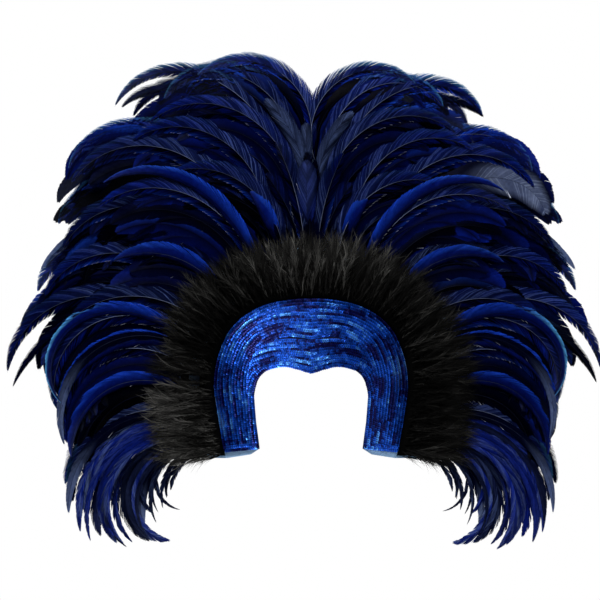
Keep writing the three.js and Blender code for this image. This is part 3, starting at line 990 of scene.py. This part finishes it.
class Quill:
    """A feather's centre line in the front plane, as arrays along its length."""

    def __init__(self, row, tier, side, layer):
        share = np.interp(row[CLOCK], RIGHT_CLOCK, RIGHT_SHARE) if side > 0 else 1.0
        self.side = side
        self.length = row[LENGTH] * share
        self.marks = np.linspace(0.0, self.length, QUILL_STEPS + 1)
        along = self.marks / self.length
        self.aims = np.radians(row[HEADING] + row[CURL] * along ** row[HOOK])
        step = self.length / QUILL_STEPS
        middle = 0.5 * (self.aims[1:] + self.aims[:-1])
        clock = math.radians(row[CLOCK])
        start_x = row[RING] * math.sin(clock)
        start_z = ARCH_Z + row[RING] * math.cos(clock)
        self.xs = start_x + np.concatenate([[0.0], np.cumsum(np.sin(middle) * step)])
        self.zs = start_z + np.concatenate([[0.0], np.cumsum(np.cos(middle) * step)])
        out = nearest_edge(self.xs, self.zs)[2]
        lean = tier["tip_lift"] * (np.maximum(out - out[0], 0.0) / LEAN_REACH) ** 2
        self.lifts = ROOT_LIFT + layer * smoothstep(self.marks, 0.0, ROOT_RISE) + lean

    def place(self, mark, across, rise):
        """Points at a length along the quill, a distance to the outside of its curl and a rise off it."""
        inside = np.minimum(mark, self.length)
        beyond = mark - inside
        aim = np.interp(inside, self.marks, self.aims)
        x = np.interp(inside, self.marks, self.xs) + beyond * np.sin(aim) - across * np.cos(aim)
        z = np.interp(inside, self.marks, self.zs) + beyond * np.cos(aim) + across * np.sin(aim)
        lift = np.interp(inside, self.marks, self.lifts) + rise
        return lifted(self.side * x, z, np.maximum(lift, LEAST_LIFT))


def vane_width(kind, along):
    """Width of the vane: it opens out of the downy root and closes towards the tip."""
    opening = 1.0 - np.exp(-(along + VANE_ROOT) / kind["opens"])
    closing = (1.0 - along ** kind["closes"]) ** TIP_FULLNESS
    return kind["width"] * opening * closing


def near_spot(along, look):
    """How near a place is to the stretch of the feather that catches the light, where highlights are painted.
    """
    return 1.0 - smoothstep(np.abs(along - look["spot"]), *SPOT_FADE)


def turned_down(along):
    """How far along the feather is where it turns down and its edge shows pale with painted backlight."""
    return smoothstep(along, *TURN_DOWN)


def broad_tint(along, edge, outer, streak, look):
    """A smooth dark body, with a painted highlight as a bright rim on part of the outer edge."""
    body = look["royal"] * (0.1 + 0.7 * edge) * (0.8 + 0.3 * streak)
    colour = blend(INK, ROYAL, np.clip(body, 0.0, 1.0))
    if not outer:
        return colour
    rim = 0.7 * smoothstep(edge, 0.4, 1.0) * look["rim"] * near_spot(along, look)
    return blend(colour, RIM_HIGHLIGHT, np.clip(rim * (0.6 + 0.5 * streak), 0.0, 1.0))


def glow_tint(along, edge, outer, streak, look):
    """A smooth royal body that brightens towards its outer rim with a painted highlight, most of all near the
    root.
    """
    if not outer:
        return blend(INK, ROYAL, 0.5 * (1.0 - edge) * (0.4 + 0.6 * streak))
    glow = smoothstep(edge, np.clip(0.1 + 0.9 * along, 0.0, 0.7), 1.0)
    glow = glow * (1.0 - 0.8 * smoothstep(along, 0.5, 0.9))
    colour = blend(INK, ROYAL, 0.15 + 0.45 * edge)
    return blend(colour, RIM_HIGHLIGHT, glow * (0.25 + 0.55 * streak))


def gleam_tint(along, edge, outer, streak, look):
    """The same painted glow, with a pale rim of painted backlight where the feather turns down."""
    colour = glow_tint(along, edge, outer, streak, look)
    if not outer:
        return colour
    tip_backlight = 2.8 * look["backlit_fringe"] * smoothstep(edge, 0.7, 1.0) * turned_down(along)
    return blend(colour, FRINGE_BACKLIGHT, np.clip(tip_backlight, 0.0, PALE_LIMIT))


def hackle_tint(along, edge, outer, streak, look):
    """The upper vane is painted slate sheen near the root, then navy and royal; the lower is black with a
    band, in painted shade.
    """
    if not outer:
        band = look["royal"] * np.sin(2.6 * edge) * (1.7 * streak - 0.4)
        colour = blend(INK, ROYAL, np.clip(band, 0.0, 1.0))
        # A painted highlight along the lower vane's edge near the spot
        rim = look["rim"] * near_spot(along, look) * smoothstep(edge, 0.6, 1.0)
        return blend(colour, RIM_HIGHLIGHT, rim * (0.35 + 0.65 * smoothstep(streak, 0.3, 0.7)))
    royal = look["royal"] * (0.2 + 1.0 * smoothstep(streak, 0.25, 0.85)) * (0.4 + 0.7 * edge)
    colour = blend(NAVY, ROYAL, np.clip(royal, 0.0, 1.0))
    # Painted slate sheen near the root, along the lighter barbs
    painted_sheen = look["painted_sheen"] * (1.0 - smoothstep(along, 0.3, 0.85)) * (0.05 + 0.85 * smoothstep(streak, 0.38, 1.0))
    colour = blend(colour, SLATE, np.clip(painted_sheen, 0.0, PALE_LIMIT))
    # Painted backlight on the upper vane's edge where it turns down
    tip_backlight = look["backlit_fringe"] * smoothstep(edge, 0.72, 1.0) * turned_down(along)
    return blend(colour, FRINGE_BACKLIGHT, np.clip(tip_backlight, 0.0, PALE_LIMIT))


def ribbon_tint(along, edge, outer, streak, look):
    """Barbs that run with the quill: a royal or black body, with painted sheen in slate lines and on a paler
    edge.
    """
    royal = smoothstep(look["royal"], 0.1, 0.5) * (1.0 - 0.4 * edge) * (0.4 + 0.9 * streak)
    colour = blend(RIBBON_DARK, ROYAL, np.clip(royal, 0.0, 1.0))
    painted_sheen = look["painted_sheen"] * (0.6 + 0.6 * smoothstep(along, 0.1, 0.6)) * smoothstep(streak, 0.25, 0.7)
    colour = blend(colour, SLATE, np.clip(painted_sheen, 0.0, PALE_LIMIT))
    return blend(colour, VEIL, 0.7 * look["painted_sheen"] * smoothstep(edge, 0.6, 1.0) * smoothstep(streak, 0.4, 0.8))


def thread_tint(along, edge, outer, streak, look):
    """Thin dark barbs with painted sheen in slate lines."""
    return blend(RIBBON_DARK, SLATE, 0.7 * look["painted_sheen"] * smoothstep(streak, 0.3, 0.8))


def veil_tint(along, edge, outer, streak, look):
    """Navy at the root, then thin and grey, so that light comes through, with a dark rim."""
    grey = blend(blend(SLATE_DARK, VEIL, streak), NAVY, smoothstep(edge, 0.7, 1.0))
    return blend(NAVY, grey, smoothstep(along, 0.45, 0.7))


def sliver_tint(along, edge, outer, streak, look):
    """Navy at the root and thin grey towards the tip."""
    return blend(NAVY, blend(SLATE, VEIL, 0.7 * streak), 0.8 * smoothstep(along, 0.5, 0.85))


def leaf_tint(along, edge, outer, streak, look):
    """Wide swept barbs, royal at the root and slate towards the tip."""
    colour = blend(INK, ROYAL, 0.1 + 0.25 * smoothstep(streak, 0.25, 0.6))
    slate = (0.05 + 0.25 * smoothstep(along, 0.2, 0.55)) * (0.3 + 0.7 * smoothstep(streak, 0.3, 0.7))
    return blend(colour, SLATE, slate)


def spear_tint(along, edge, outer, streak, look):
    """Short slate feathers that lie flat over the middle of the frame."""
    return blend(NAVY, SLATE, 0.1 + 0.8 * smoothstep(streak, 0.15, 0.9))


TINTS = {
    "broad": broad_tint,
    "gleam": gleam_tint,
    "glow": glow_tint,
    "hackle": hackle_tint,
    "slim": hackle_tint,
    "wisp": hackle_tint,
    "ribbon": ribbon_tint,
    "thread": thread_tint,
    "veil": veil_tint,
    "sliver": sliver_tint,
    "leaf": leaf_tint,
    "spear": spear_tint,
}


def vane_tint(name, along, edge, outer, streak, look):
    """Colour of the vane: along the feather, from the quill to the edge, on either side of the quill."""
    colour = TINTS[name](along, edge, outer, streak, look)
    return blend(colour, VEIL, look["fade"] * smoothstep(along, 0.6, 1.0) * (0.4 + 0.6 * streak))


def drift(order, wavelengths, rng):
    """A smooth seeded wander along a row of barbs, about -1 to 1."""
    waves = []
    for _ in range(DRIFT_WAVES):
        turn = 2.0 * math.pi / rng.uniform(*wavelengths)
        waves.append(np.sin(order * turn + rng.uniform(*PHASES)))
    return np.mean(waves, axis=0) * DRIFT_GAIN


def clump_centres(count, rng):
    """For each barb, the middle of the clump that it belongs to."""
    sizes = rng.integers(*CLUMP_SIZES, count)
    owners = np.repeat(np.arange(count), sizes)[:count]
    starts = np.concatenate([[0], np.cumsum(sizes)])[owners]
    return starts + (sizes[owners] - 1) / 2.0


def barb_lines(count, rng):
    """Thin light lines along the vane: a few barbs stand out from their neighbours."""
    return LINE_GAIN * np.clip(rng.normal(0.0, 1.0, count) - LINE_FLOOR, 0.0, LINE_SPAN)


def seeded_barbs(kind, length, share, look, rng):
    """Barbs of one side of a feather, as arrays along its quill."""
    count = int(length / kind["pitch"])
    order = np.arange(count)
    along = BARB_START + BARB_SPAN * order / count
    uneven = 1.0 + WIDTH_UNEVEN * drift(order, EDGE_DRIFT, rng) + rng.normal(0.0, WIDTH_CHANCE, count)
    width = vane_width(kind, along) * share * look["width"] * uneven
    bend = 1.0 + BEND_UNEVEN * drift(order, EDGE_DRIFT, rng) + rng.normal(0.0, BEND_CHANCE, count)
    pull = (clump_centres(count, rng) - order) * kind["pitch"] * kind["clump"] * look["fray"]
    wobble = WOBBLE * drift(order, WOBBLE_DRIFT, rng) + rng.normal(0.0, WOBBLE_CHANCE, count)
    tone = STREAK_BASE + FINE_UNEVEN * drift(order, FINE_DRIFT, rng)
    tone = tone + TONE_UNEVEN * drift(order, TONE_DRIFT, rng)
    near = np.abs(along - look["spot"]) < GLINT_REACH
    return {
        "along": along,
        "width": width,
        "sweep": kind["sweep"] * width * bend * (ROOT_SWEEP - SWEEP_LOSS * along),
        "pull": pull * width / width.max(),
        "wobble": wobble,
        "streak": np.clip(tone + kind["grain"] * barb_lines(count, rng), 0.0, 1.0),
        "glint": rng.uniform(0.0, 1.0, count) < look["glint"] * near,
    }


def add_vane(heap, quill, name, outer, look, rng):
    """One side of a feather, made of barbs that sweep towards the tip."""
    kind = KINDS[name]
    sign = 1.0 if outer else -1.0
    share = kind["outer"] if outer else 1.0 - kind["outer"]
    barbs = seeded_barbs(kind, quill.length, share, look, rng)
    along = barbs["along"]
    width = barbs["width"]
    corners = []
    tints = []
    for station, left in look["stations"]:
        half = kind["point"] + (kind["half"] - kind["point"]) * left
        mark = along * quill.length + barbs["sweep"] * station**SWEEP_CURVE + barbs["pull"] * station**2
        droop = -kind["camber"] * width * station**DROOP_CURVE + barbs["wobble"] * station
        edge = np.full(len(along), station)
        # The vane's colour times its painted shade factor
        colour = vane_tint(name, along, edge, outer, barbs["streak"], look) * look["shade"]
        # A painted glint at the ends of a few barbs of the lower vane
        if station == 1.0 and not outer:
            colour = blend(colour, GLINT, barbs["glint"])
        for turn in (-1.0, 1.0):
            ahead = mark + turn * half * kind["pitch"]
            corners.append(quill.place(ahead, sign * width * station, droop + BARB_TWIST * turn))
            tints.append(colour)
    triangles = grid_triangles(len(look["stations"]), 2)
    heap.add_copies(np.stack(corners, axis=1), triangles, np.stack(tints, axis=1))


def add_rachis(heap, quill, pale):
    """The quill itself: a thin four-sided tube, tapered to the tip and palest near its root."""
    marks = quill.marks[::2]
    along = marks / quill.length
    radius = np.interp(along, RACHIS_ALONG, RACHIS_RADIUS)
    rings = []
    for across, rise in RACHIS_CORNERS:
        rings.append(quill.place(marks, across * radius, RACHIS_RISE + rise * radius))
    triangles = grid_triangles(len(marks), len(RACHIS_CORNERS), closed=True)
    colour = blend(NAVY, RACHIS, pale * (1.0 - 0.7 * smoothstep(along, 0.35, 0.9)))
    heap.add(np.stack(rings, axis=1), triangles, np.repeat(colour, len(RACHIS_CORNERS), axis=0))


def add_tape(heap, rows, side):
    """The sewn tape that holds a tier's quills on the frame."""
    clock = np.radians(np.linspace(rows[0][CLOCK], rows[-1][CLOCK], TAPE_STEPS))
    ring = np.interp(np.degrees(clock), [row[CLOCK] for row in rows], [row[RING] for row in rows])
    corners = (
        (-TAPE_HALF, TAPE_BACK), (-TAPE_HALF, TAPE_FRONT), (TAPE_HALF, TAPE_FRONT), (TAPE_HALF, TAPE_BACK)
    )
    edges = []
    for offset, lift in corners:
        x = side * (ring + offset) * np.sin(clock)
        edges.append(lifted(x, ARCH_Z + (ring + offset) * np.cos(clock), lift))
    heap.add(np.stack(edges, axis=1), grid_triangles(TAPE_STEPS, len(corners)), INK)


def row_numbers(row):
    return np.array(row[:KIND], dtype=float)


def tier_feathers(tier, rng):
    """Rows of a tier, each with its kind and layer, whether it leads, and the halves that have it."""
    leads = [row_numbers(row) for row in tier["rows"]]
    feathers = []
    for before, after in zip(leads, leads[1:]):
        fills = max(tier["least"], round((after[CLOCK] - before[CLOCK]) * tier["density"]))
        for index in range(fills):
            share = (index + rng.uniform(*FILL_PLACE)) / fills
            row = before * (1.0 - share) + after * share
            row[HEADING] += rng.normal(0.0, FILL_TURN)
            row[LENGTH] *= rng.uniform(*FILL_LENGTH)
            row[CURL] *= rng.uniform(*FILL_CURL)
            name = str(rng.choice(FILL_KINDS, p=tier["mix"]))
            name = "ribbon" if row[CLOCK] > RIBBON_CLOCK else name
            name = "thread" if row[CLOCK] > THREAD_CLOCK else name
            feathers.append((row, name, tier["layer"] + rng.uniform(*FILL_LAYERS), False, BOTH))
    for index, row in enumerate(tier["extras"]):
        layer = tier["layer"] + (FRONT_LAYER if row[KIND] in FRONT_KINDS else BACK_LAYER) + EXTRA_STEP * index
        feathers.append((row_numbers(row), row[KIND], layer, False, row[HALVES]))
    for lead, row in zip(leads, tier["rows"]):
        feathers.append((lead, row[KIND], tier["layer"] + rng.uniform(*LEAD_LAYERS), True, BOTH))
    for index, row in enumerate(tier.get("under", ())):
        layer = tier["layer"] + EXTRA_STEP * index
        feathers.append((row_numbers(row), row[KIND], layer, False, row[HALVES]))
    return feathers


def feather_look(tier, name, lead, rng):
    """The seeded differences between one feather and the next."""
    royal, painted_sheen, shade, pale = rng.uniform(0.0, 1.0, 4)
    # Painted shade under the leads: feathers that are neither leads nor light kinds take a low shade factor
    # and little painted backlight
    light = lead or name in LIGHT_KINDS
    return {
        "royal": 0.25 + 0.6 * royal if lead else royal**1.5,
        "rim": smoothstep(rng.uniform(0.0, 1.0), 0.35, 0.7),
        "spot": rng.uniform(0.15, 0.6),
        "painted_sheen": tier["painted_sheen"] * (0.6 + 0.4 * painted_sheen if lead else painted_sheen),
        "backlit_fringe": tier["backlit_fringe"] * (0.4 + 0.6 * rng.uniform(0.0, 1.0)) * (1.0 if light else 0.15),
        "fade": tier["fade"] * rng.uniform(0.0, 1.0) ** 2,
        "width": rng.uniform(0.65, 1.3) if name == "ribbon" else rng.uniform(0.82, 1.08),
        "fray": rng.uniform(0.2, 1.8),
        "shade": 0.8 + 0.3 * shade if light else 0.12 + 0.85 * shade**1.5,
        "pale": 0.35 + 0.55 * pale if lead else 0.12 * pale,
        "glint": LEAD_GLINT if lead and name == "hackle" else FILL_GLINT,
        "stations": LEAD_STATIONS if lead else FILL_STATIONS,
    }


def add_feathers():
    material = feather_material()
    for index, tier in enumerate(TIERS):
        for side, label in SIDES:
            rng = np.random.default_rng(FEATHER_SEED + TIER_SEEDS * index)
            heap = Heap()
            add_tape(heap, tier["rows"], side)
            for row, name, layer, lead, halves in tier_feathers(tier, rng):
                if side not in halves:
                    continue
                quill = Quill(row, tier, side, layer)
                look = feather_look(tier, name, lead, rng)
                for outer in (True, False):
                    add_vane(heap, quill, name, outer, look, rng)
                add_rachis(heap, quill, look["pale"] * KINDS[name]["quill"])
            node = f"{tier['name']}_{label}"
            declare(heap.piece(f"{node}_feathers", material), "plume", node)


def dress_frame():
    felt = cloth_material("pale felt", tuple(dye(118, 158, 204)), tuple(dye(156, 194, 228)), thread=900.0)
    ground = cloth_material("sequin ground", tuple(dye(2, 6, 40)), tuple(dye(6, 16, 80)), thread=700.0)
    for node, material in (("base_frame", felt), ("sequin_panel", ground)):
        slots = bpy.data.objects[node].data.materials
        slots.clear()
        slots.append(material)


add_camera()
add_lights()
add_world()
add_floor()
dress_frame()
add_sequins()
add_down()
add_feathers()
